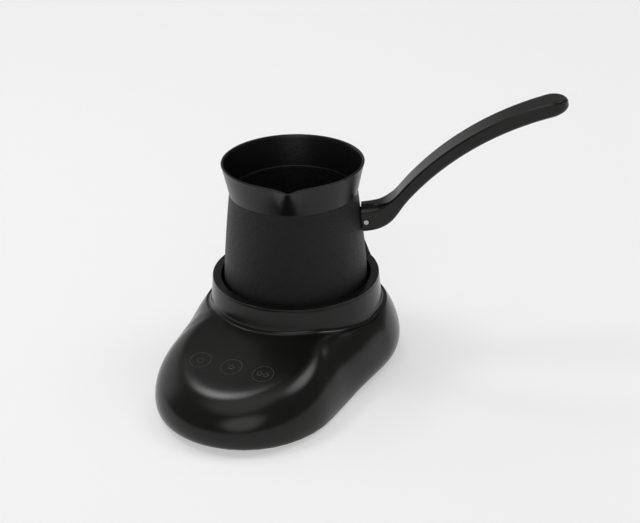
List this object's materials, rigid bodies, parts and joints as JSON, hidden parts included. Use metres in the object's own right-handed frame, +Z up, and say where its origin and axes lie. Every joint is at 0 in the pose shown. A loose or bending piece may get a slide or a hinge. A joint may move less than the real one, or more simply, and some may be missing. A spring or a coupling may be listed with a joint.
{
  "type": "electric turkish coffee maker",
  "caption": "Electric turkish coffee maker: a flared pot with one pouring lip and a long curved handle stands in a round heated seat on a low teardrop base with touch keys.",
  "frame": {"origin": "on the table, under the middle of the whole object as seen from above, handle included", "axes": "+Z up; +Y from the touch keys towards the cable inlet at the rear; +X to the right, the side that the handle reaches over"},
  "size_m": [0.2124, 0.1904, 0.1667],
  "materials": {
    "shell": "satin black moulded plastic",
    "cover": "fine textured black moulded plastic",
    "grip": "satin black moulded plastic",
    "pot_coating": "dark grey non-stick coating over drawn metal, coarse below the neck",
    "rubber": "matt black rubber",
    "steel": "bright zinc plated steel",
    "plate": "turned die-cast aluminium",
    "sheet": "bright rolled sheet",
    "silicone": "matt red-brown silicone",
    "element_tube": "dull heat-stained tube",
    "window": "dark infrared window",
    "ceramic": "cream ceramic and phenolic",
    "board": "green lacquered circuit board",
    "dark_part": "black electronic housing",
    "blue_part": "blue electronic housing",
    "winding": "yellow tape over copper",
    "terminal": "green terminal moulding",
    "light_plastic": "white nylon"
  },
  "bodies": {
    "base": {"upper_housing": "shell", "bottom_cover": "cover", "rubber_feet": "rubber", "cover_screws": "steel", "cord_gland": "rubber", "seat_ring": "shell", "sensor_housing": "shell", "sensor_window": "window", "overflow_sensor": "steel", "plate_gasket": "silicone", "hot_plate": "plate", "heating_element": "element_tube", "thermostat": "ceramic", "heat_shield": "sheet", "plate_nuts": "steel", "probe_guide": "ceramic", "probe_spring": "steel", "thermal_fuse": "light_plastic", "power_board": "board", "relay": "blue_part", "transformer": "winding", "filter_capacitor": "dark_part", "terminal_block": "terminal", "buzzer": "dark_part", "board_screws": "steel", "touch_carrier": "light_plastic", "touch_board": "board", "touch_springs": "steel", "indicator_leds": "light_plastic"},
    "probe": {"temperature_probe": "steel"},
    "pot": {"pot_body": "pot_coating", "handle_bracket": "steel", "handle": "grip", "handle_rivet": "steel"}
  },
  "joints": [
    {"name": "pot_lift", "type": "slide", "parent": "base", "child": "pot", "axis": [0, 0, 1], "range_m": [0, 0.1]},
    {"name": "probe_press", "type": "slide", "parent": "base", "child": "probe", "axis": [0, 0, 1], "range_m": [-0.0015, 0], "stiffness_N_per_m": 300, "springref_m": 0.001, "deforming": ["probe_spring"]}
  ]
}
